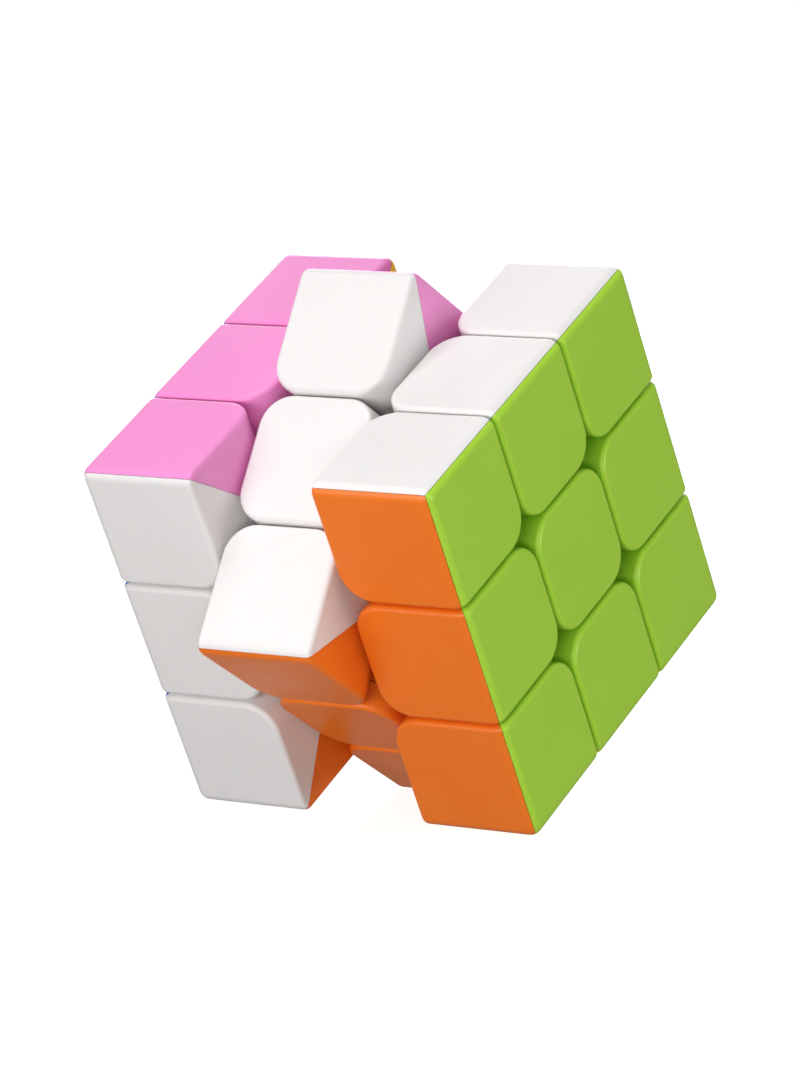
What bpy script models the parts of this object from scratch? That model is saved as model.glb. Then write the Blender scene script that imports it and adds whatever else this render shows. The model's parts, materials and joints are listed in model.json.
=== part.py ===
"""A stickerless 3 x 3 x 3 twisty puzzle cube, stood on a table part way through a turn.

Every corner, edge and centre is a solid with its own foot or stem. The feet run in a round track
under their neighbours: a centre holds down four edges, and an edge holds down two corners. Each
centre rides on a sprung screw in the six-armed core. All the faces that slide past each other are
planes or spheres about the cube's middle, so any layer can turn.

Frame: metres, +Z up, +X along the axis that the three layers turn about, -Y to the front. The
origin is on the table, below the cube's middle. Each piece is modelled in the solved cube and is
parented to its layer's empty, which carries the layer's turn.
"""

import math

import bmesh
import bpy
from mathutils import Matrix, Vector

MM = 0.001

# The cube and its tiles
CUBE_SIDE = 57.0 * MM
PLAY = 0.5 * MM  # between the flat sides of pieces that slide past each other
TRACK_PLAY = 0.7 * MM  # above and below a foot in its track
SHELL_SEAM = 0.2 * MM  # between the moulded shells of one piece
SEAT_GAP = 0.3 * MM  # between pieces that press on each other
TILE_RADIUS = 4.6 * MM  # tile corners around each centre tile
OUTER_FILLET = 1.2 * MM  # along the cube's outer edges
TILE_FILLET = 0.5 * MM  # along the other sides of a tile

# The track and the feet that run in it
TRACK_DEPTH = 6.0 * MM  # from a face of the cube to the top of the feet
FOOT_DEPTH = 7.5 * MM  # from the top of a foot to its underside
FOOT_ROUNDING = 1.6 * MM
STALK_CLEARANCE = 0.3 * MM  # beside the stalk that carries a corner's foot

# The two halves of an edge clip together with a peg and a socket each
PEG_RADIUS = 1.3 * MM
PEG_LENGTH = 1.6 * MM
PEG_CLEARANCE = 0.2 * MM

# A centre: a base with a tubular stem, and the cap that closes it
STEM_RADIUS = 5.6 * MM
STEM_BORE_RADIUS = 3.7 * MM
STEM_FLOOR = 1.8 * MM
CAP_HEIGHT = 4.3 * MM
CAP_WALL = 1.5 * MM
CAP_CLIP_LENGTH = 1.8 * MM
CAP_CLIP_WALL = 0.9 * MM

# The core, and the screw and spring of each centre
CORE_RADIUS = 6.5 * MM
POST_RADIUS = 3.2 * MM
POST_REACH = 10.0 * MM  # from the cube's middle to a post's tip
SCREW_RADIUS = 1.25 * MM
SCREW_HEAD_RADIUS = 2.7 * MM
SCREW_HEAD_HEIGHT = 1.9 * MM
SCREW_FLANGE_HEIGHT = 0.6 * MM
SCREW_BITE = 5.5 * MM  # how far a screw reaches into its post
RUNNING_GAP = 0.35 * MM  # beside a screw, its flange and its spring
WIRE_RADIUS = 0.35 * MM
COIL_PITCH = 2.2 * MM

# How far each layer is turned from the solved cube, about +X
RIGHT_TURN = 0.0
MIDDLE_TURN = math.radians(33.5)
LEFT_TURN = math.radians(90.0)

# Facets
TRACK_SEGMENTS = 20
ROUND_SEGMENTS = 16
SLIM_SEGMENTS = 12  # the core, the screws, their bores and the cap's clip
PEG_SEGMENTS = 6
WIRE_STEPS_PER_TURN = 8
TILE_CORNER_STEPS = 3
FILLET_STEPS = 1

HALF = CUBE_SIDE / 2
PITCH = CUBE_SIDE / 3
TILE_INNER = PITCH / 2 + PLAY / 2  # where an outer layer's tiles start
TILE_OUTER = PITCH / 2 - PLAY / 2  # where a middle slice's tiles end
TRACK_RADIUS = HALF - TRACK_DEPTH
BODY_UNDERSIDE = TRACK_RADIUS + TRACK_PLAY / 2
FOOT_TOP = TRACK_RADIUS - TRACK_PLAY / 2
FOOT_UNDERSIDE = TRACK_RADIUS - FOOT_DEPTH
FOOT_SPLIT = STEM_RADIUS + PLAY  # the planes between one foot and the next
FOOT_INNER = FOOT_SPLIT + PLAY / 2
FOOT_OUTER = FOOT_SPLIT - PLAY / 2
STALK_RADIUS = (TRACK_RADIUS / math.sqrt(3) - TILE_INNER) * math.sqrt(1.5) - STALK_CLEARANCE

# Heights along a centre's own axis, from the cube's middle
FLOOR_LOW = POST_REACH + SEAT_GAP
FLOOR_HIGH = FLOOR_LOW + STEM_FLOOR
CAP_SEAM = HALF - CAP_HEIGHT
CLIP_LOW = CAP_SEAM - CAP_CLIP_LENGTH
HEAD_HIGH = CLIP_LOW - SEAT_GAP
HEAD_LOW = HEAD_HIGH - SCREW_HEAD_HEIGHT
SCREW_TIP = POST_REACH - SCREW_BITE
SPRING_LOW = FLOOR_HIGH + SEAT_GAP
SPRING_HIGH = HEAD_LOW - SEAT_GAP

# Leaning the layers by this much stands the cube on the lowest edges of its outer layers and on
# that of its middle slice, one on each side of its middle.
LEAN = (math.radians(90.0) - MIDDLE_TURN) / 2
STAND_HEIGHT = HALF * math.cos(LEAN) + (HALF - OUTER_FILLET) * math.sin(LEAN)

RIGHT, LEFT = Vector((1, 0, 0)), Vector((-1, 0, 0))
BACK, FRONT = Vector((0, 1, 0)), Vector((0, -1, 0))
UP, DOWN = Vector((0, 0, 1)), Vector((0, 0, -1))
FACES = {
    "up": (UP, "white"),
    "down": (DOWN, "yellow"),
    "front": (FRONT, "orange"),
    "back": (BACK, "pink"),
    "left": (LEFT, "blue"),
    "right": (RIGHT, "green"),
}
FINISHES = {  # base colour, roughness, metallic
    "white": ((0.87, 0.86, 0.85), 0.32, 0.0),
    "yellow": ((0.95, 0.72, 0.03), 0.32, 0.0),
    "orange": ((0.93, 0.26, 0.03), 0.32, 0.0),
    "pink": ((0.93, 0.30, 0.62), 0.32, 0.0),
    "blue": ((0.03, 0.20, 0.75), 0.32, 0.0),
    "green": ((0.27, 0.56, 0.05), 0.32, 0.0),
    "core_grey": ((0.55, 0.56, 0.58), 0.45, 0.0),
    "steel": ((0.62, 0.62, 0.64), 0.28, 1.0),
}


def clear_scene():
    for obj in list(bpy.data.objects):
        bpy.data.objects.remove(obj)


def new_collection(name):
    collection = bpy.data.collections.new(name)
    bpy.context.scene.collection.children.link(collection)
    return collection


# --- Shapes -------------------------------------------------------------------------------------


def shape_from(bm, name):
    """A workshop object that holds bm's mesh. Patterns are built from these."""
    mesh = bpy.data.meshes.new(name)
    bm.to_mesh(mesh)
    bm.free()
    obj = bpy.data.objects.new(name, mesh)
    obj.hide_render = True
    obj.display_type = "WIRE"
    bpy.data.collections["workshop"].objects.link(obj)
    return obj


def block_mesh(low, high):
    bm = bmesh.new()
    bmesh.ops.create_cube(bm, size=1.0)
    low, high = Vector(low), Vector(high)
    bmesh.ops.scale(bm, vec=high - low, verts=bm.verts)
    bmesh.ops.translate(bm, vec=(low + high) / 2, verts=bm.verts)
    return bm


def block(name, low, high, rounding=0.0):
    bm = block_mesh(low, high)
    if rounding:
        bmesh.ops.bevel(
            bm, geom=bm.edges[:], offset=rounding, segments=1, profile=0.5, affect="EDGES"
        )
    return shape_from(bm, name)


def ball(name, radius, segments=TRACK_SEGMENTS):
    bm = bmesh.new()
    bmesh.ops.create_uvsphere(
        bm, u_segments=segments, v_segments=segments // 2, radius=radius
    )
    return shape_from(bm, name)


def rod(name, radius, start, end, segments=ROUND_SEGMENTS):
    """A rod from one point to another."""
    start, end = Vector(start), Vector(end)
    along = end - start
    bm = bmesh.new()
    bmesh.ops.create_cone(
        bm,
        cap_ends=True,
        segments=segments,
        radius1=radius,
        radius2=radius,
        depth=along.length,
    )
    turn = along.to_track_quat("Z", "Y").to_matrix().to_4x4()
    bm.transform(Matrix.Translation((start + end) / 2) @ turn)
    return shape_from(bm, name)


def tile_block(name, low, high, outer_axes):
    """A block whose faces at the high end of outer_axes are tiles of the cube.

    The block's edges that run down from a tile beside its face's centre get the tile's rounding.
    A tile's own outline gets a fillet, which is larger along the cube's outer edges.
    """
    bm = block_mesh(low, high)

    def on_tile(point):
        return [axis for axis in outer_axes if abs(point[axis] - high[axis]) < 1e-6]

    def runs_down_from_tile(edge):
        first, second = (v.co for v in edge.verts)
        axis = max(range(3), key=lambda k: abs(first[k] - second[k]))
        return axis in outer_axes and on_tile((first + second) / 2) == []

    bmesh.ops.bevel(
        bm,
        geom=[edge for edge in bm.edges if runs_down_from_tile(edge)],
        offset=TILE_RADIUS,
        segments=TILE_CORNER_STEPS,
        profile=0.5,
        affect="EDGES",
    )
    weights = bm.edges.layers.float.new("bevel_weight_edge")
    for edge in bm.edges:
        tiles = sum(len(on_tile(f.calc_center_median())) for f in edge.link_faces)
        edge[weights] = (0.0, TILE_FILLET / OUTER_FILLET, 1.0)[tiles]
    obj = shape_from(bm, name)
    fillet = obj.modifiers.new("tile fillets", "BEVEL")
    fillet.limit_method = "WEIGHT"
    fillet.width = OUTER_FILLET
    fillet.segments = FILLET_STEPS
    return obj


def combine(obj, other, operation):
    boolean = obj.modifiers.new(f"{operation} {other.name}", "BOOLEAN")
    boolean.object = other
    boolean.operation = operation
    boolean.solver = "EXACT"
    return obj


def join(obj, *others):
    for other in others:
        combine(obj, other, "UNION")
    return obj


def cut(obj, *cutters):
    for cutter in cutters:
        combine(obj, cutter, "DIFFERENCE")
    return obj


def common(obj, other):
    return combine(obj, other, "INTERSECT")


def finished(obj):
    """The evaluated mesh of a pattern, shaded smooth between its sharp edges."""
    graph = bpy.context.evaluated_depsgraph_get()
    mesh = bpy.data.meshes.new_from_object(obj.evaluated_get(graph))
    mesh.name = obj.name
    mesh.materials.clear()
    mesh.shade_smooth()
    mesh.set_sharp_from_angle(angle=math.radians(35.0))
    return mesh


# --- Patterns: each is modelled once, and every copy shares its mesh -------------------------------


def corner_pattern():
    """The corner at +X +Y +Z: a body with three tiles, and a foot on a stalk."""
    body = tile_block("corner", (TILE_INNER,) * 3, (HALF,) * 3, (0, 1, 2))
    foot = block("corner foot", (FOOT_INNER,) * 3, (TRACK_RADIUS,) * 3, FOOT_ROUNDING)
    common(foot, ball("corner foot top", FOOT_TOP))
    diagonal = Vector((1, 1, 1)).normalized()
    stalk = rod(
        "corner stalk",
        STALK_RADIUS,
        diagonal * (FOOT_UNDERSIDE + FOOT_DEPTH / 2),
        diagonal * (BODY_UNDERSIDE + TRACK_DEPTH / 2),
    )
    join(body, foot, stalk)
    return finished(cut(body, ball("corner foot underside", FOOT_UNDERSIDE)))


def edge_half_pattern():
    """The +Z half of the edge at +Y +Z. Two of them, turned half round, make the edge."""
    body = tile_block(
        "edge half",
        (-TILE_OUTER, TILE_INNER, TILE_INNER),
        (TILE_OUTER, HALF, HALF),
        (1, 2),
    )
    cut(body, ball("edge body underside", BODY_UNDERSIDE))
    foot = block(
        "edge foot",
        (-FOOT_OUTER, FOOT_INNER, FOOT_INNER),
        (FOOT_OUTER, TRACK_RADIUS, TRACK_RADIUS),
        FOOT_ROUNDING,
    )
    common(foot, ball("edge foot top", FOOT_TOP))
    neck_low = TILE_INNER + PLAY
    neck_high = TRACK_RADIUS / math.sqrt(2) + PLAY + FOOT_ROUNDING
    neck_side = FOOT_OUTER - PLAY
    neck = block(
        "edge neck",
        (-neck_side, neck_low, neck_low),
        (neck_side, neck_high, neck_high),
    )
    join(body, foot, neck)
    cut(body, ball("edge foot underside", FOOT_UNDERSIDE))

    # The parting plane holds the X axis and the cube's outer edge.
    parting = block(
        "other half",
        (-PITCH, -HALF, -CUBE_SIDE),
        (PITCH, CUBE_SIDE * 2, SHELL_SEAM / 2),
    )
    parting.matrix_world = Matrix.Rotation(math.radians(45.0), 4, "X")
    cut(body, parting)

    # The peg stands on one side and the socket on the other, so that two equal halves clip together.
    normal = Vector((0, -1, 1)).normalized()
    middle = Vector((0, 1, 1)).normalized() * (math.sqrt(2) * HALF + TRACK_RADIUS) / 2
    side = Vector((FOOT_OUTER - PEG_RADIUS, 0, 0))
    peg = rod(
        "peg",
        PEG_RADIUS,
        middle + side + normal * PEG_LENGTH,
        middle + side - normal * PEG_LENGTH,
        PEG_SEGMENTS,
    )
    socket = rod(
        "socket",
        PEG_RADIUS + PEG_CLEARANCE,
        middle - side + normal * (PEG_LENGTH + SEAT_GAP),
        middle - side - normal * PEG_LENGTH,
        PEG_SEGMENTS,
    )
    return finished(cut(join(body, peg), socket))


def centre_base_pattern():
    """The base of the centre at +Z: a square shoulder on a stem with a bore for the spring."""
    shoulder = tile_block(
        "centre base",
        (-TILE_OUTER, -TILE_OUTER, PITCH / 2),
        (TILE_OUTER, TILE_OUTER, CAP_SEAM),
        (2,),
    )
    shoulder.modifiers.remove(shoulder.modifiers["tile fillets"])
    cut(shoulder, ball("centre underside", BODY_UNDERSIDE))
    top = CAP_SEAM - CAP_WALL
    join(shoulder, rod("stem", STEM_RADIUS, (0, 0, FLOOR_LOW), (0, 0, top)))
    hole_radius = SCREW_RADIUS + RUNNING_GAP
    return finished(
        cut(
            shoulder,
            rod("stem bore", STEM_BORE_RADIUS, (0, 0, FLOOR_HIGH), (0, 0, HALF)),
            rod("screw hole", hole_radius, (0, 0, 0), (0, 0, HALF), SLIM_SEGMENTS),
        )
    )


def centre_cap_pattern():
    """The cap of the centre at +Z: a hollow tile with a round clip that enters the stem."""
    cap = tile_block(
        "centre cap",
        (-TILE_OUTER, -TILE_OUTER, CAP_SEAM + SHELL_SEAM),
        (TILE_OUTER, TILE_OUTER, HALF),
        (2,),
    )
    inside = TILE_OUTER - CAP_WALL
    ceiling = HALF - CAP_WALL
    hollow = block(
        "cap hollow",
        (-inside, -inside, CLIP_LOW),
        (inside, inside, ceiling),
        FOOT_ROUNDING,
    )
    cut(cap, hollow)
    clip_radius = STEM_BORE_RADIUS - RUNNING_GAP
    foot_end, buried_end = (0, 0, CLIP_LOW), (0, 0, ceiling + CAP_WALL / 2)
    clip = rod("clip", clip_radius, foot_end, buried_end, SLIM_SEGMENTS)
    bore_radius = clip_radius - CAP_CLIP_WALL
    clip_bore = rod(
        "clip bore", bore_radius, (0, 0, FLOOR_HIGH), (0, 0, ceiling), SLIM_SEGMENTS
    )
    return finished(cut(join(cap, clip), clip_bore))


def screw_pattern():
    """The tension screw along +Z: a domed head with a flange on a plain shank."""
    flange = STEM_BORE_RADIUS - RUNNING_GAP
    dome_low = HEAD_LOW + SCREW_FLANGE_HEIGHT
    dome_rise = HEAD_HIGH - dome_low
    dome = [math.radians(angle) for angle in (60.0, 30.0, 0.0)]
    outline = [(0.0, HEAD_HIGH)]
    outline += [
        (SCREW_HEAD_RADIUS * math.cos(a), dome_low + dome_rise * math.sin(a)) for a in dome
    ]
    outline += [
        (flange, dome_low),
        (flange, HEAD_LOW),
        (SCREW_RADIUS, HEAD_LOW),
        (SCREW_RADIUS, SCREW_TIP + SCREW_RADIUS),
        (0.0, SCREW_TIP),
    ]
    bm = bmesh.new()
    points = [bm.verts.new((radius, 0, height)) for radius, height in outline]
    for first, second in zip(points, points[1:]):
        bm.edges.new((first, second))
    screw = shape_from(bm, "tension screw")
    turned = screw.modifiers.new("turned", "SCREW")
    turned.steps = turned.render_steps = SLIM_SEGMENTS
    turned.use_merge_vertices = True
    turned.merge_threshold = 0.00001
    return finished(screw)


def spring_pattern():
    """The tension spring along +Z, its end turns wound closed."""
    wire_low = SPRING_LOW + WIRE_RADIUS
    wire_high = SPRING_HIGH - WIRE_RADIUS
    coil_radius = STEM_BORE_RADIUS - RUNNING_GAP - WIRE_RADIUS
    closed_pitch = 2 * WIRE_RADIUS + SEAT_GAP / 2
    open_turns = max(1, round((wire_high - wire_low - 2 * closed_pitch) / COIL_PITCH))
    turns = open_turns + 2
    open_pitch = (wire_high - wire_low - 2 * closed_pitch) / open_turns

    def height(turn):
        closed = min(turn, 1.0) + max(turn - (turns - 1), 0.0)
        opened = min(max(turn - 1.0, 0.0), open_turns)
        return wire_low + closed * closed_pitch + opened * open_pitch

    curve = bpy.data.curves.new("tension spring", "CURVE")
    curve.dimensions = "3D"
    curve.bevel_depth = WIRE_RADIUS
    curve.bevel_resolution = 1
    curve.use_fill_caps = True
    spline = curve.splines.new("POLY")
    steps = turns * WIRE_STEPS_PER_TURN
    spline.points.add(steps)
    for step in range(steps + 1):
        turn = step / WIRE_STEPS_PER_TURN
        angle = turn * math.tau
        place = (coil_radius * math.cos(angle), coil_radius * math.sin(angle), height(turn))
        spline.points[step].co = (*place, 1.0)
    obj = bpy.data.objects.new("tension spring", curve)
    obj.hide_render = True
    bpy.data.collections["workshop"].objects.link(obj)
    mesh = finished(obj)
    bm = bmesh.new()
    bm.from_mesh(mesh)
    bmesh.ops.remove_doubles(bm, verts=bm.verts, dist=0.00001)
    bm.to_mesh(mesh)
    bm.free()
    return mesh


def core_pattern():
    """The core: a ball with six posts, each bored for its screw."""
    core = ball("core ball", CORE_RADIUS, SLIM_SEGMENTS)
    for name, (face, _) in FACES.items():
        post = rod(
            f"{name} post", POST_RADIUS, face * PLAY, face * POST_REACH, SLIM_SEGMENTS
        )
        bore = rod(
            f"{name} post bore",
            SCREW_RADIUS + SEAT_GAP,
            face * (SCREW_TIP - SEAT_GAP),
            face * HALF,
            SLIM_SEGMENTS,
        )
        cut(join(core, post), bore)
    return finished(core)


# --- Assembly -------------------------------------------------------------------------------------


def make_materials():
    for name, (colour, roughness, metallic) in FINISHES.items():
        material = bpy.data.materials.new(name)
        material.diffuse_color = (*colour, 1.0)
        material.use_nodes = True
        shader = material.node_tree.nodes["Principled BSDF"]
        shader.inputs["Base Color"].default_value = (*colour, 1.0)
        shader.inputs["Roughness"].default_value = roughness
        shader.inputs["Metallic"].default_value = metallic


def make_layers(collection):
    """An empty for each layer, on the axis that the layers turn about."""
    layers = {}
    turns = {"left": LEFT_TURN, "middle": MIDDLE_TURN, "right": RIGHT_TURN}
    for name, turn in turns.items():
        empty = bpy.data.objects.new(f"{name}_layer", None)
        empty.empty_display_size = HALF
        empty.location = (0, 0, STAND_HEIGHT)
        empty.rotation_euler = (LEAN + turn, 0, 0)
        collection.objects.link(empty)
        layers[name] = empty
    return layers


def turned_to(x, y, z):
    """The rotation that takes a pattern's axes to these directions in the solved cube."""
    return Matrix((x, y, z)).transposed().to_4x4()


def place(collection, name, mesh, finish, layer, rotation):
    """A piece that shares a pattern's mesh, with its own material."""
    if not mesh.materials:
        mesh.materials.append(None)
    obj = bpy.data.objects.new(name, mesh)
    obj.material_slots[0].link = "OBJECT"
    obj.material_slots[0].material = bpy.data.materials[finish]
    obj.parent = layer
    obj.matrix_local = rotation
    collection.objects.link(obj)
    return obj


def layer_of(layers, faces):
    """The layer that a piece with these faces belongs to."""
    return layers[next((face for face in faces if face in ("left", "right")), "middle")]


def place_corners(collection, layers, mesh):
    for third in ("up", "down"):
        for first in ("right", "left"):
            for second in ("front", "back"):
                x, y, z = (FACES[face][0] for face in (first, second, third))
                if x.cross(y).dot(z) < 0:
                    x, y = y, x
                place(
                    collection,
                    f"corner_{third}_{first}_{second}",
                    mesh,
                    FACES[third][1],
                    layers[first],
                    turned_to(x, y, z),
                )


def place_edges(collection, layers, mesh):
    names = list(FACES)
    for number, first in enumerate(names):
        for second in names[number + 1 :]:
            if FACES[first][0].dot(FACES[second][0]) < 0:
                continue
            for face, other in ((first, second), (second, first)):
                z, colour = FACES[face]
                y = FACES[other][0]
                place(
                    collection,
                    f"edge_{first}_{second}_{colour}_half",
                    mesh,
                    colour,
                    layer_of(layers, (first, second)),
                    turned_to(y.cross(z), y, z),
                )


def place_centres(collection, layers, patterns):
    for name, (face, colour) in FACES.items():
        x = RIGHT if abs(face.x) < 0.5 else UP
        rotation = turned_to(x, face.cross(x), face)
        layer = layer_of(layers, (name,))
        for part in ("base", "cap"):
            mesh = patterns[part]
            place(collection, f"{name}_centre_{part}", mesh, colour, layer, rotation)
        for part in ("screw", "spring"):
            node = f"{name}_tension_{part}"
            place(collection, node, patterns[part], "steel", layers["middle"], rotation)


def main():
    clear_scene()
    workshop = new_collection("workshop")
    collection = new_collection("twisty_puzzle_cube")
    make_materials()
    layers = make_layers(collection)
    place_corners(collection, layers, corner_pattern())
    place_edges(collection, layers, edge_half_pattern())
    centre_patterns = {
        "base": centre_base_pattern(),
        "cap": centre_cap_pattern(),
        "screw": screw_pattern(),
        "spring": spring_pattern(),
    }
    place_centres(collection, layers, centre_patterns)
    place(collection, "core", core_pattern(), "core_grey", layers["middle"], Matrix())
    for obj in list(workshop.objects):
        bpy.data.objects.remove(obj)
    bpy.data.collections.remove(workshop)


main()
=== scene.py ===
import json
import math
from itertools import combinations

import bmesh
import bpy
from mathutils import Matrix, Vector

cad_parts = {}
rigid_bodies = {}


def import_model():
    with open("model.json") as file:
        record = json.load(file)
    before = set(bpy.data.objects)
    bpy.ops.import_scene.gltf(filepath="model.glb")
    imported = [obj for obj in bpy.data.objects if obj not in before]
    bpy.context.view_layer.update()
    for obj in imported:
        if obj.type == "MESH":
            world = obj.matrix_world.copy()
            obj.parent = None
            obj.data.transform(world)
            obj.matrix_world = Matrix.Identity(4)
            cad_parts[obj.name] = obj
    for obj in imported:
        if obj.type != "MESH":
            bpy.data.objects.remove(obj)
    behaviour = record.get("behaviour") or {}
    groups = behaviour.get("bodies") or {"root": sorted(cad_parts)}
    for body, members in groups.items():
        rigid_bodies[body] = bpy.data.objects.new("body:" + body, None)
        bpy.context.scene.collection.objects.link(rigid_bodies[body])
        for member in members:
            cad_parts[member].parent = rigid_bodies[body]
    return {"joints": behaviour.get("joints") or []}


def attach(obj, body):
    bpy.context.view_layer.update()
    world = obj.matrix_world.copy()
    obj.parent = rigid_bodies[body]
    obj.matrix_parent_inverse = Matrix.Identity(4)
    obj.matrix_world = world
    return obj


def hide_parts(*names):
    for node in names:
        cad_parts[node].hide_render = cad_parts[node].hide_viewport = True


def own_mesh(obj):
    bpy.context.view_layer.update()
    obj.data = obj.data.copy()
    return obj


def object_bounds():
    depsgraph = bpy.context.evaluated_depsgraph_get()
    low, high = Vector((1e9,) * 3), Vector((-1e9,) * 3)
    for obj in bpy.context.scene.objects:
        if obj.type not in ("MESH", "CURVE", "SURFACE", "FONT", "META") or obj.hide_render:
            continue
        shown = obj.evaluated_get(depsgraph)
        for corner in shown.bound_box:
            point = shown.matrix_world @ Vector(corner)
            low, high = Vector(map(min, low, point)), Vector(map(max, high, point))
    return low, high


# The visual model of a stickerless twisty puzzle cube. Every cubie is rebuilt as its coloured
# moulded shells, with fine fillets, on the CAD's own planes, spheres and joints.

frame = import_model()
CAD_LOW, CAD_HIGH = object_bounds()

MM = 0.001

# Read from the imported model
HALF = CAD_HIGH[0]
JOINTS = {joint["name"]: joint for joint in frame["joints"]}
CORE = Vector(JOINTS["right_turn"]["pos_m"])
LIFT_UP = Vector(JOINTS["up_lift"]["axis"])

# Turns about X from an upright cube: the slice and the right layer stand on an edge each, leaning
# opposite ways, so their angles make up a quarter turn. The left layer has made one quarter more.
SLICE_ANGLE = math.atan2(-LIFT_UP.y, LIFT_UP.z)
RIGHT_ANGLE = math.pi / 2 - SLICE_ANGLE
LEFT_ANGLE = RIGHT_ANGLE + math.pi / 2

# The cubies, as in the CAD
PITCH = HALF * 2 / 3
PLAY = 0.5 * MM
TILE_INNER = PITCH / 2 + PLAY / 2
TILE_OUTER = PITCH / 2 - PLAY / 2
TRACK_RADIUS = HALF - 6.0 * MM
TRACK_PLAY = 0.7 * MM
BODY_UNDERSIDE = TRACK_RADIUS + TRACK_PLAY / 2
FOOT_TOP = TRACK_RADIUS - TRACK_PLAY / 2
FOOT_UNDERSIDE = TRACK_RADIUS - 7.5 * MM
STEM_RADIUS = 5.6 * MM
STEM_BORE_RADIUS = 3.7 * MM
FOOT_INNER = STEM_RADIUS + PLAY * 1.5
FOOT_OUTER = STEM_RADIUS + PLAY * 0.5
STALK_RADIUS = (TRACK_RADIUS / math.sqrt(3) - TILE_INNER) * math.sqrt(1.5) - 0.3 * MM
STALK_LOW = FOOT_UNDERSIDE + 4 * MM
STALK_HIGH = BODY_UNDERSIDE + 3 * MM
FLOOR_LOW = 10.3 * MM
FLOOR_HIGH = FLOOR_LOW + 1.8 * MM
CAP_SEAM = HALF - 4.3 * MM
CLIP_LOW = CAP_SEAM - 1.8 * MM
CAP_WALL = 1.5 * MM
CAP_PLAY = 0.2 * MM
CLIP_WALL = 0.9 * MM
RUNNING_GAP = 0.35 * MM
SCREW_HOLE_RADIUS = 1.6 * MM
CORE_RADIUS = 6.5 * MM
POST_RADIUS = 3.2 * MM
POST_REACH = 10.0 * MM
SCREW_RADIUS = 1.25 * MM
SCREW_HEAD_RADIUS = 2.7 * MM
SCREW_FLANGE_HEIGHT = 0.6 * MM
SCREW_TIP = 4.5 * MM
SCREW_PLAY = 0.3 * MM
HEAD_HIGH = CLIP_LOW - 0.3 * MM
HEAD_LOW = HEAD_HIGH - 1.9 * MM
SPRING_LOW = FLOOR_HIGH + 0.3 * MM
SPRING_HIGH = HEAD_LOW - 0.3 * MM
WIRE_RADIUS = 0.35 * MM
SPRING_TURNS = 4

# Roundings and counts, finer than the CAD
TILE_RADIUS = 4.6 * MM
OUTER_FILLET = 1.7 * MM
TILE_FILLET = 0.75 * MM
FOOT_ROUNDING = 1.6 * MM
NECK_ROUNDING = 0.4 * MM
RIM_ROUNDING = 0.3 * MM
CLIP_ROUNDING = 0.25 * MM
CROSS_ROUNDING = 0.1 * MM
SEAM = 0.03 * MM  # half the gap between two shells
SHARP_ANGLE = math.radians(32.0)
BALL_SEGMENTS = 64
ROUND_SEGMENTS = 48
TURN_STEPS = 32  # along each turn of a spring

NORMALS = {
    "up": Vector((0, 0, 1)),
    "down": Vector((0, 0, -1)),
    "front": Vector((0, -1, 0)),
    "back": Vector((0, 1, 0)),
    "left": Vector((-1, 0, 0)),
    "right": Vector((1, 0, 0)),
}
COLOURS = {
    "up": "white", "down": "yellow", "front": "orange", "back": "pink", "left": "blue", "right": "green",
}
TURNS = {"right": RIGHT_ANGLE, "left": LEFT_ANGLE, "middle": SLICE_ANGLE}
BODIES = {"right": "right_layer", "left": "left_layer", "middle": "core_and_middle_slice"}

# --- Shapes ---


def link(obj):
    bpy.context.scene.collection.objects.link(obj)
    return obj


def shape_from(bm, name):
    mesh = bpy.data.meshes.new(name)
    bm.to_mesh(mesh)
    bm.free()
    return link(bpy.data.objects.new(name, mesh))


def block_mesh(low, high):
    bm = bmesh.new()
    bmesh.ops.create_cube(bm, size=1.0)
    low, high = Vector(low), Vector(high)
    bmesh.ops.scale(bm, vec=high - low, verts=bm.verts)
    bmesh.ops.translate(bm, vec=(low + high) / 2, verts=bm.verts)
    return bm


def block(low, high, rounding=0.0):
    bm = block_mesh(low, high)
    if rounding:
        bmesh.ops.bevel(bm, geom=bm.edges[:], offset=rounding, segments=4, profile=0.5, affect="EDGES")
    return shape_from(bm, "tool block")


def ball(radius):
    bm = bmesh.new()
    bmesh.ops.create_uvsphere(bm, u_segments=BALL_SEGMENTS, v_segments=BALL_SEGMENTS // 2, radius=radius)
    return shape_from(bm, "tool ball")


def rod(radius, start, end, rounding=0.0):
    start, end = Vector(start), Vector(end)
    along = end - start
    bm = bmesh.new()
    bmesh.ops.create_cone(
        bm, cap_ends=True, segments=ROUND_SEGMENTS, radius1=radius, radius2=radius, depth=along.length
    )
    if rounding:
        rims = [e for e in bm.edges if any(len(f.verts) > 4 for f in e.link_faces)]
        bmesh.ops.bevel(bm, geom=rims, offset=rounding, segments=2, profile=0.5, affect="EDGES")
    turn = along.to_track_quat("Z", "Y").to_matrix().to_4x4()
    bm.transform(Matrix.Translation((start + end) / 2) @ turn)
    return shape_from(bm, "tool rod")


def upright(radius, low, high, rounding=0.0):
    """A rod along +Z from one height to another."""
    return rod(radius, (0, 0, low), (0, 0, high), rounding)


def axis_of(edge):
    """The axis, as a number, that a straight edge of a block runs along."""
    first, second = (v.co for v in edge.verts)
    return max(range(3), key=lambda k: abs(first[k] - second[k]))


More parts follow.
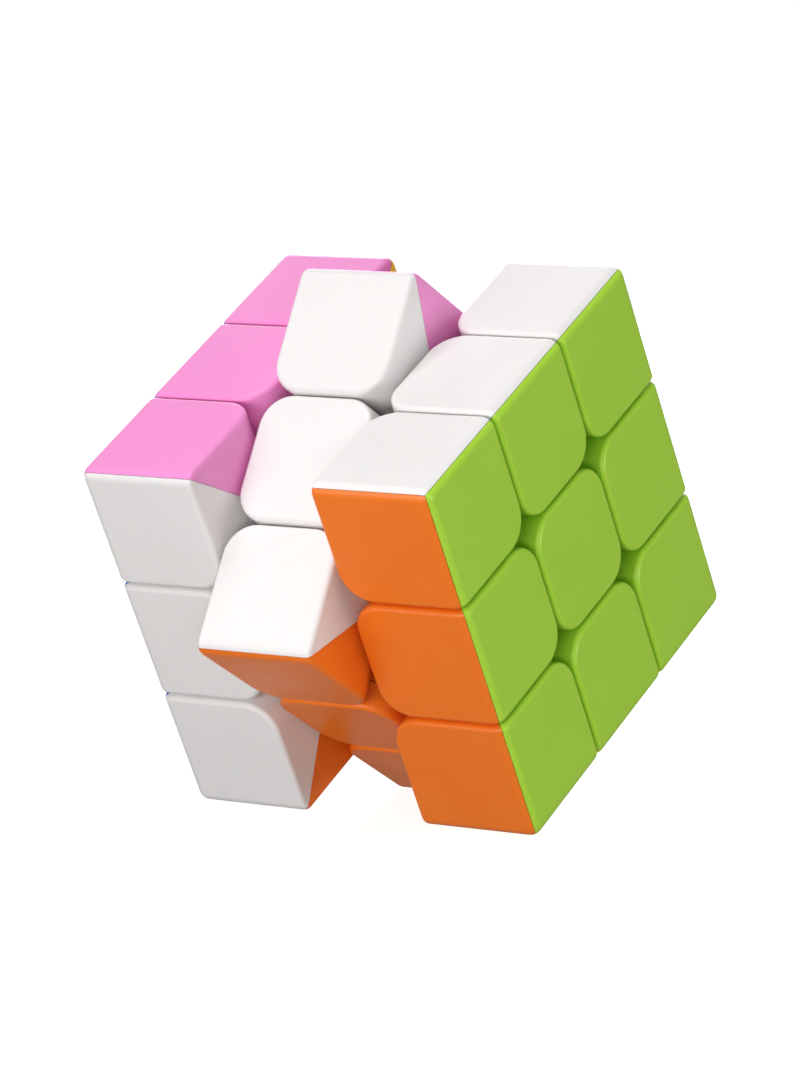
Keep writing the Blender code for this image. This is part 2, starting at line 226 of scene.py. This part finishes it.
def tile_block(low, high, outer_axes):
    """A cubie's body: its columns are rounded first, then its outer edges, then each tile's rim."""
    bm = block_mesh(low, high)

    def tiles_at(edge):
        middle = (edge.verts[0].co + edge.verts[1].co) / 2
        return [axis for axis in outer_axes if abs(middle[axis] - high[axis]) < 1e-6]

    def is_outside(face):
        """Whether a face is a tile or the round between two tiles."""
        return all(
            face.normal[axis] > -0.01 if axis in outer_axes else abs(face.normal[axis]) < 0.01
            for axis in range(3)
        )

    columns = [edge for edge in bm.edges if axis_of(edge) in outer_axes and not tiles_at(edge)]
    bmesh.ops.bevel(bm, geom=columns, offset=TILE_RADIUS, segments=12, profile=0.5, affect="EDGES")
    outer = [edge for edge in bm.edges if len(tiles_at(edge)) == 2]
    bmesh.ops.bevel(bm, geom=outer, offset=OUTER_FILLET, segments=6, profile=0.5, affect="EDGES")
    bm.normal_update()
    weights = bm.edges.layers.float.new("bevel_weight_edge")
    for edge in bm.edges:
        edge[weights] = float(sum(is_outside(face) for face in edge.link_faces) == 1)
    obj = shape_from(bm, "tool tile block")
    fillet = obj.modifiers.new("fillets", "BEVEL")
    fillet.limit_method = "WEIGHT"
    fillet.width = TILE_FILLET
    fillet.segments = 4
    return obj


def combine(obj, other, operation):
    """Joins, cuts or keeps the common part of two shapes when the first one is evaluated."""
    boolean = obj.modifiers.new(operation, "BOOLEAN")
    boolean.object = other
    boolean.operation = operation
    boolean.solver = "EXACT"
    return obj


def evaluated(obj):
    graph = bpy.context.evaluated_depsgraph_get()
    return bpy.data.meshes.new_from_object(obj.evaluated_get(graph))


def parted(mesh, normals):
    """The part of a mesh on the far side of every plane through the core with these normals."""
    bm = bmesh.new()
    bm.from_mesh(mesh)
    for normal in normals:
        normal = Vector(normal).normalized()
        cut = bmesh.ops.bisect_plane(
            bm, geom=bm.verts[:] + bm.edges[:] + bm.faces[:], dist=1e-7,
            plane_co=normal * SEAM, plane_no=normal, clear_inner=True,
        )
        rim = [e for e in cut["geom_cut"] if isinstance(e, bmesh.types.BMEdge)]
        bmesh.ops.holes_fill(bm, edges=rim)
    bmesh.ops.recalc_face_normals(bm, faces=bm.faces)
    bm.to_mesh(mesh)
    bm.free()
    return mesh


def smoothed(mesh, name):
    """A finished mesh: smooth where its faces meet gently, with one empty slot for the colour."""
    mesh.name = name
    mesh.materials.clear()
    mesh.materials.append(None)
    for polygon in mesh.polygons:
        polygon.material_index = 0
    mesh.shade_smooth()
    mesh.set_sharp_from_angle(angle=SHARP_ANGLE)
    return mesh


def corner_shell():
    """The +Z shell of the corner at +X +Y +Z, with its third of the foot."""
    body = tile_block((TILE_INNER,) * 3, (HALF,) * 3, (0, 1, 2))
    foot = block((FOOT_INNER,) * 3, (TRACK_RADIUS,) * 3, FOOT_ROUNDING)
    combine(foot, ball(FOOT_TOP), "INTERSECT")
    diagonal = Vector((1, 1, 1)).normalized()
    stalk = rod(STALK_RADIUS, diagonal * STALK_LOW, diagonal * STALK_HIGH)
    combine(body, foot, "UNION")
    combine(body, stalk, "UNION")
    combine(body, ball(FOOT_UNDERSIDE), "DIFFERENCE")
    return smoothed(parted(evaluated(body), [(-1, 0, 1), (0, -1, 1)]), "corner shell")


def edge_half():
    """The +Z half of the edge at +Y +Z, with its half of the foot and of the neck above it."""
    body = tile_block((-TILE_OUTER, TILE_INNER, TILE_INNER), (TILE_OUTER, HALF, HALF), (1, 2))
    combine(body, ball(BODY_UNDERSIDE), "DIFFERENCE")
    foot_low, foot_high = (-FOOT_OUTER, FOOT_INNER, FOOT_INNER), (FOOT_OUTER, TRACK_RADIUS, TRACK_RADIUS)
    foot = block(foot_low, foot_high, FOOT_ROUNDING)
    combine(foot, ball(FOOT_TOP), "INTERSECT")
    low, side = TILE_INNER + PLAY, FOOT_OUTER - PLAY
    high = TRACK_RADIUS / math.sqrt(2) + PLAY + FOOT_ROUNDING
    neck = block((-side, low, low), (side, high, high), NECK_ROUNDING)
    combine(body, foot, "UNION")
    combine(body, neck, "UNION")
    combine(body, ball(FOOT_UNDERSIDE), "DIFFERENCE")
    return smoothed(parted(evaluated(body), [(0, -1, 1)]), "edge half")


def centre_base():
    """A centre's base along +Z: a tile-shaped block on a stem, bored for the spring and the screw."""
    low, high = (-TILE_OUTER, -TILE_OUTER, PITCH / 2), (TILE_OUTER, TILE_OUTER, CAP_SEAM)
    base = tile_block(low, high, (2,))
    base.modifiers.clear()
    combine(base, ball(BODY_UNDERSIDE), "DIFFERENCE")
    combine(base, upright(STEM_RADIUS, FLOOR_LOW, CAP_SEAM - CAP_WALL, RIM_ROUNDING), "UNION")
    combine(base, upright(STEM_BORE_RADIUS, FLOOR_HIGH, HALF), "DIFFERENCE")
    combine(base, upright(SCREW_HOLE_RADIUS, 0, HALF), "DIFFERENCE")
    return smoothed(evaluated(base), "centre base")


def centre_cap():
    """A centre's cap along +Z: a hollow tile with a round clip that plugs the stem's bore."""
    low, high = (-TILE_OUTER, -TILE_OUTER, CAP_SEAM + CAP_PLAY), (TILE_OUTER, TILE_OUTER, HALF)
    cap = tile_block(low, high, (2,))
    side, ceiling = TILE_OUTER - CAP_WALL, HALF - CAP_WALL
    combine(cap, block((-side, -side, CLIP_LOW), (side, side, ceiling), FOOT_ROUNDING), "DIFFERENCE")
    clip = STEM_BORE_RADIUS - RUNNING_GAP
    combine(cap, upright(clip, CLIP_LOW, HALF - CAP_WALL / 2, CLIP_ROUNDING), "UNION")
    combine(cap, upright(clip - CLIP_WALL, FLOOR_HIGH, ceiling), "DIFFERENCE")
    return smoothed(evaluated(cap), "centre cap")


def core():
    """A ball with six posts, each bored for its screw."""
    casting = ball(CORE_RADIUS)
    for normal in NORMALS.values():
        combine(casting, rod(POST_RADIUS, normal * PLAY, normal * POST_REACH, RIM_ROUNDING), "UNION")
        bore = rod(SCREW_RADIUS + SCREW_PLAY, normal * (SCREW_TIP - SCREW_PLAY), normal * HALF)
        combine(casting, bore, "DIFFERENCE")
    return smoothed(evaluated(casting), "core")


def screw_outline():
    """A screw's half section, as radius and height, from the top of its head to its tip."""
    flange = STEM_BORE_RADIUS - RUNNING_GAP
    chamfer = 0.1 * MM
    dome_low = HEAD_LOW + SCREW_FLANGE_HEIGHT
    dome_rise = HEAD_HIGH - dome_low
    dome = [math.radians(angle) for angle in range(80, -1, -10)]
    outline = [(0.0, HEAD_HIGH)]
    outline += [(SCREW_HEAD_RADIUS * math.cos(a), dome_low + dome_rise * math.sin(a)) for a in dome]
    outline += [(flange - chamfer, dome_low), (flange, dome_low - chamfer), (flange, HEAD_LOW)]
    outline += [(SCREW_RADIUS, HEAD_LOW), (SCREW_RADIUS, SCREW_TIP + SCREW_RADIUS), (0.0, SCREW_TIP)]
    return outline


def screw():
    """A screw along +Z: a domed head with a cross recess and a flange, on a shank."""
    bm = bmesh.new()
    points = [bm.verts.new((radius, 0, height)) for radius, height in screw_outline()]
    for first, second in zip(points, points[1:]):
        bm.edges.new((first, second))
    piece = shape_from(bm, "tool screw")
    turned = piece.modifiers.new("turned", "SCREW")
    turned.steps = turned.render_steps = ROUND_SEGMENTS
    turned.use_merge_vertices = True
    turned.merge_threshold = 0.01 * MM
    arm, blade, depth = 1.6 * MM, 0.35 * MM, 1.2 * MM
    for x, y in ((arm, blade), (blade, arm)):
        recess = block((-x, -y, HEAD_HIGH - depth), (x, y, HALF), CROSS_ROUNDING)
        combine(piece, recess, "DIFFERENCE")
    return smoothed(evaluated(piece), "screw")


def spring():
    """A spring along +Z with its end turns wound closed."""
    low, high = SPRING_LOW + WIRE_RADIUS, SPRING_HIGH - WIRE_RADIUS
    coil_radius = STEM_BORE_RADIUS - RUNNING_GAP - WIRE_RADIUS
    closed_pitch = 2 * WIRE_RADIUS + 0.15 * MM
    open_pitch = (high - low - 2 * closed_pitch) / (SPRING_TURNS - 2)
    curve = bpy.data.curves.new("spring", "CURVE")
    curve.dimensions = "3D"
    curve.bevel_depth = WIRE_RADIUS
    curve.bevel_resolution = 3
    curve.use_fill_caps = True
    spline = curve.splines.new("POLY")
    spline.points.add(SPRING_TURNS * TURN_STEPS)
    for step, point in enumerate(spline.points):
        turn = step / TURN_STEPS
        closed = min(turn, 1.0) + max(turn - (SPRING_TURNS - 1), 0.0)
        height = low + closed * closed_pitch + (turn - closed) * open_pitch
        x, y = coil_radius * math.cos(turn * math.tau), coil_radius * math.sin(turn * math.tau)
        point.co = (x, y, height, 1.0)
    return smoothed(evaluated(link(bpy.data.objects.new("tool spring", curve))), "spring")


# --- Materials ---


def nodes_of(material):
    material.use_nodes = True
    tree = material.node_tree
    return tree, tree.nodes["Principled BSDF"]


def noise(tree, coordinates, scale, detail):
    texture = tree.nodes.new("ShaderNodeTexNoise")
    texture.inputs["Scale"].default_value = scale
    texture.inputs["Detail"].default_value = detail
    tree.links.new(coordinates.outputs["Object"], texture.inputs["Vector"])
    return texture.outputs["Fac"]


def ramp(tree, source, low, high, to_low, to_high):
    """Maps a value from one range onto another."""
    node = tree.nodes.new("ShaderNodeMapRange")
    node.inputs["From Min"].default_value = low
    node.inputs["From Max"].default_value = high
    node.inputs["To Min"].default_value = to_low
    node.inputs["To Max"].default_value = to_high
    tree.links.new(source, node.inputs["Value"])
    return node.outputs["Result"]


# The colour sockets of a Mix node, whose names are shared with its other kinds
MIX_FACTOR, MIX_A, MIX_B, MIX_RESULT = 0, 6, 7, 2


def tint(tree, shader, source, deep, colour):
    """The base colour: deep where the noise is low, the other colour where it is high."""
    mix = tree.nodes.new("ShaderNodeMix")
    mix.data_type = "RGBA"
    mix.inputs[MIX_A].default_value = (*deep, 1.0)
    mix.inputs[MIX_B].default_value = (*colour, 1.0)
    tree.links.new(ramp(tree, source, 0.25, 0.75, 0.0, 1.0), mix.inputs[MIX_FACTOR])
    tree.links.new(mix.outputs[MIX_RESULT], shader.inputs["Base Color"])


def gloss(tree, shader, source, low, high):
    """Roughness that follows the noise from low to high."""
    tree.links.new(ramp(tree, source, 0.3, 0.7, low, high), shader.inputs["Roughness"])


def relief(tree, shader, waves, grain, strength):
    """A faint bump made of waves and a quarter as much grain."""
    add = tree.nodes.new("ShaderNodeMath")
    add.operation = "MULTIPLY_ADD"
    add.inputs[1].default_value = 0.25
    tree.links.new(grain, add.inputs[0])
    tree.links.new(waves, add.inputs[2])
    bump = tree.nodes.new("ShaderNodeBump")
    bump.inputs["Strength"].default_value = strength
    bump.inputs["Distance"].default_value = 0.012 * MM
    tree.links.new(add.outputs["Value"], bump.inputs["Height"])
    tree.links.new(bump.outputs["Normal"], shader.inputs["Normal"])


def plastic(name, colour, deep, roughness=0.30):
    """Moulded satin plastic: pigment clouds, handling smudges and a faint orange peel."""
    material = bpy.data.materials.new(name)
    tree, shader = nodes_of(material)
    coordinates = tree.nodes.new("ShaderNodeTexCoord")
    tint(tree, shader, noise(tree, coordinates, 90.0, 3.0), deep, colour)
    gloss(tree, shader, noise(tree, coordinates, 150.0, 5.0), roughness, roughness + 0.08)
    peel, grain = noise(tree, coordinates, 900.0, 2.0), noise(tree, coordinates, 5200.0, 2.0)
    relief(tree, shader, peel, grain, 0.06)
    shader.inputs["IOR"].default_value = 1.45
    shader.inputs["Subsurface Weight"].default_value = 0.08
    shader.inputs["Subsurface Radius"].default_value = (0.9 * MM, 0.7 * MM, 0.5 * MM)
    shader.inputs["Subsurface Scale"].default_value = 1.0
    return material


def steel():
    """Zinc plate: a spangle in the tint and the gloss, with fine drawing marks."""
    material = bpy.data.materials.new("zinc_plated_steel")
    tree, shader = nodes_of(material)
    coordinates = tree.nodes.new("ShaderNodeTexCoord")
    spangle = noise(tree, coordinates, 700.0, 4.0)
    tint(tree, shader, spangle, (0.55, 0.56, 0.60), (0.67, 0.68, 0.70))
    gloss(tree, shader, spangle, 0.29, 0.42)
    marks, grain = noise(tree, coordinates, 2400.0, 3.0), noise(tree, coordinates, 9000.0, 2.0)
    relief(tree, shader, marks, grain, 0.15)
    shader.inputs["Metallic"].default_value = 1.0
    return material


MATERIALS = {
    "white": plastic("white_plastic", (0.90, 0.875, 0.865), (0.88, 0.855, 0.845)),
    "yellow": plastic("yellow_plastic", (0.95, 0.72, 0.02), (0.93, 0.69, 0.02)),
    "orange": plastic("orange_plastic", (0.99, 0.215, 0.014), (0.98, 0.20, 0.012)),
    "pink": plastic("pink_plastic", (0.96, 0.31, 0.68), (0.95, 0.295, 0.665)),
    "blue": plastic("blue_plastic", (0.02, 0.17, 0.72), (0.018, 0.155, 0.69)),
    "green": plastic("green_plastic", (0.50, 0.85, 0.06), (0.48, 0.83, 0.05)),
    "core_grey": plastic("core_plastic", (0.60, 0.61, 0.63), (0.55, 0.56, 0.58), roughness=0.42),
    "steel": steel(),
}

# --- Assembly ---


def turned_to(x, y, z):
    """The turn that takes +X, +Y and +Z to these three directions."""
    return Matrix((x, y, z)).transposed().to_4x4()


def layer_of(faces):
    """The layer that a cubie with these faces belongs to in the photographed pose."""
    return next((face for face in faces if face in ("left", "right")), "middle")


def place(name, mesh, colour, layer, rotation, body, cad_node):
    """Puts one piece in its layer, riding its body and standing for its CAD node."""
    obj = link(bpy.data.objects.new(name, mesh))
    obj.material_slots[0].link = "OBJECT"
    obj.material_slots[0].material = MATERIALS[colour]
    obj.matrix_world = Matrix.Translation(CORE) @ Matrix.Rotation(TURNS[layer], 4, "X") @ rotation
    weighted = obj.modifiers.new("flat faces stay flat", "WEIGHTED_NORMAL")
    weighted.keep_sharp = True
    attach(obj, body)
    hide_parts(cad_node)
    return obj


def place_corner(mesh, faces):
    """The three shells of the corner where the faces meet, each with its own face along +Z."""
    layer = layer_of(faces)
    node = "corner_" + "_".join(faces)
    for own in faces:
        x, y = (NORMALS[face] for face in faces if face != own)
        z, colour = NORMALS[own], COLOURS[own]
        if x.cross(y).dot(z) < 0:
            x, y = y, x
        place(f"{node}_{colour}_shell", mesh, colour, layer, turned_to(x, y, z), BODIES[layer], node)


def place_corners(mesh):
    for third in ("up", "down"):
        for first in ("right", "left"):
            for second in ("front", "back"):
                place_corner(mesh, (third, first, second))


def place_edge(mesh, faces):
    """The two halves of the edge where the faces meet, each with its own face along +Z."""
    layer = layer_of(faces)
    for own, other in (faces, faces[::-1]):
        y, z, colour = NORMALS[other], NORMALS[own], COLOURS[own]
        node = "edge_" + "_".join((*faces, colour, "half"))
        place(f"{node}_shell", mesh, colour, layer, turned_to(y.cross(z), y, z), BODIES[layer], node)


def place_edges(mesh):
    for first, second in combinations(NORMALS, 2):
        if NORMALS[first].dot(NORMALS[second]) == 0:
            place_edge(mesh, (first, second))


def place_spring(name, mesh, rotation):
    """One face's spring, placed on the core's body with a mesh of its own. In the real cube the lifting
    centre squashes it towards its screw.
    """
    node = f"{name}_tension_spring"
    coil = place(f"{node}_steel", mesh, "steel", "middle", rotation, BODIES["middle"], node)
    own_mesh(coil)


def place_centres(base, cap, fixing, coil):
    """Each face's base and cap in their layer, and its screw and spring in the core's."""
    for name, z in NORMALS.items():
        x = NORMALS["up"] if name in ("left", "right") else NORMALS["right"]
        rotation = turned_to(x, z.cross(x), z)
        layer, colour = layer_of((name,)), COLOURS[name]
        node = f"{name}_centre_base"
        place(f"{name}_base_moulding", base, colour, layer, rotation, f"{name}_centre", node)
        node = f"{name}_centre_cap"
        place(f"{name}_cap_moulding", cap, colour, layer, rotation, f"{name}_cap", node)
        node = f"{name}_tension_screw"
        place(f"{node}_steel", fixing, "steel", "middle", rotation, f"{name}_screw", node)
        place_spring(name, coil, rotation)


# --- Studio ---

FLOOR_RADIUS = 40.0
SHADE = 0.26  # how bright the surroundings are to everything but the camera
CAMERA_ANGLES = (33.78, 7.44, -0.65)  # azimuth, elevation and roll, in degrees
CAMERA_LENS = 161.25
CAMERA_DISTANCE = 683.5 * MM
CAMERA_LEFT = 1.12 * MM  # this line and the next: off the line of sight through the core
CAMERA_DOWN = 1.24 * MM


def floor():
    """A wide pale sheet that shows white to the camera, as the photograph's background does."""
    bm = bmesh.new()
    bmesh.ops.create_circle(bm, cap_ends=True, segments=96, radius=FLOOR_RADIUS)
    plane = shape_from(bm, "studio_floor")
    plane.location.z = -0.1 * MM
    material = bpy.data.materials.new("studio_acrylic")
    tree, shader = nodes_of(material)
    coordinates = tree.nodes.new("ShaderNodeTexCoord")
    shader.inputs["Base Color"].default_value = (0.42, 0.42, 0.42, 1.0)
    shader.inputs["Emission Color"].default_value = (1.0, 1.0, 1.0, 1.0)
    shader.inputs["Emission Strength"].default_value = 0.89
    gloss(tree, shader, noise(tree, coordinates, 12.0, 3.0), 0.6, 0.75)
    plane.data.materials.append(material)
    # The sheet takes shadows, but neither lights the object from below nor shows in it.
    plane.visible_diffuse = False
    plane.visible_glossy = False


def world():
    """A soft grey all round that the camera sees as white."""
    sky = bpy.data.worlds.new("studio_world")
    bpy.context.scene.world = sky
    sky.use_nodes = True
    tree = sky.node_tree
    seen = tree.nodes.new("ShaderNodeLightPath")
    brightness = ramp(tree, seen.outputs["Is Camera Ray"], 0.0, 1.0, SHADE, 1.0)
    tree.links.new(brightness, tree.nodes["Background"].inputs["Strength"])
    tree.nodes["Background"].inputs["Color"].default_value = (1.0, 1.0, 1.0, 1.0)


def soft_light(name, offset, size, power):
    """A rectangular light that faces the core, in metres and watts."""
    light = bpy.data.lights.new(name, "AREA")
    light.shape = "RECTANGLE"
    light.size, light.size_y = size
    light.energy = power
    obj = link(bpy.data.objects.new(name, light))
    obj.location = CORE + Vector(offset)
    obj.rotation_euler = (-Vector(offset)).to_track_quat("-Z", "Y").to_euler()


def lights():
    """A high key, low strips for the front and right sides, and a fill for views from behind."""
    soft_light("key", (-0.08, -0.24, 0.77), (0.5, 0.5), 3.8)
    soft_light("front_fill", (0.03, -0.32, -0.008), (0.45, 0.05), 0.68)
    soft_light("side_fill", (0.68, 0.10, -0.012), (0.3, 0.04), 1.05)
    soft_light("back_fill", (-0.35, 0.62, 0.32), (0.5, 0.5), 3.2)


def camera():
    """The photograph's view, found by fitting the cube's tile corners."""
    azimuth, elevation, roll = (math.radians(angle) for angle in CAMERA_ANGLES)
    forward = Vector((
        -math.sin(azimuth) * math.cos(elevation),
        math.cos(azimuth) * math.cos(elevation),
        -math.sin(elevation),
    ))
    right = forward.cross(Vector((0, 0, 1))).normalized()
    right = Matrix.Rotation(-roll, 3, forward) @ right
    up = right.cross(forward)
    data = bpy.data.cameras.new("camera")
    data.sensor_fit = "VERTICAL"
    data.sensor_height = 36.0
    data.lens = CAMERA_LENS
    data.clip_start, data.clip_end = 0.05, 200.0
    obj = link(bpy.data.objects.new("camera", data))
    position = CORE - forward * CAMERA_DISTANCE - right * CAMERA_LEFT - up * CAMERA_DOWN
    obj.matrix_world = Matrix.Translation(position) @ turned_to(right, up, -forward)
    bpy.context.scene.camera = obj


camera()
corner_mesh, edge_mesh = corner_shell(), edge_half()
base_mesh, cap_mesh = centre_base(), centre_cap()
screw_mesh, spring_mesh, core_mesh = screw(), spring(), core()
for tool in [obj for obj in bpy.data.objects if obj.name.startswith("tool ")]:
    bpy.data.objects.remove(tool)
place_corners(corner_mesh)
place_edges(edge_mesh)
place_centres(base_mesh, cap_mesh, screw_mesh, spring_mesh)
place("core_casting", core_mesh, "core_grey", "middle", Matrix(), BODIES["middle"], "core")
floor()
world()
lights()
bpy.context.scene.view_settings.view_transform = "Standard"
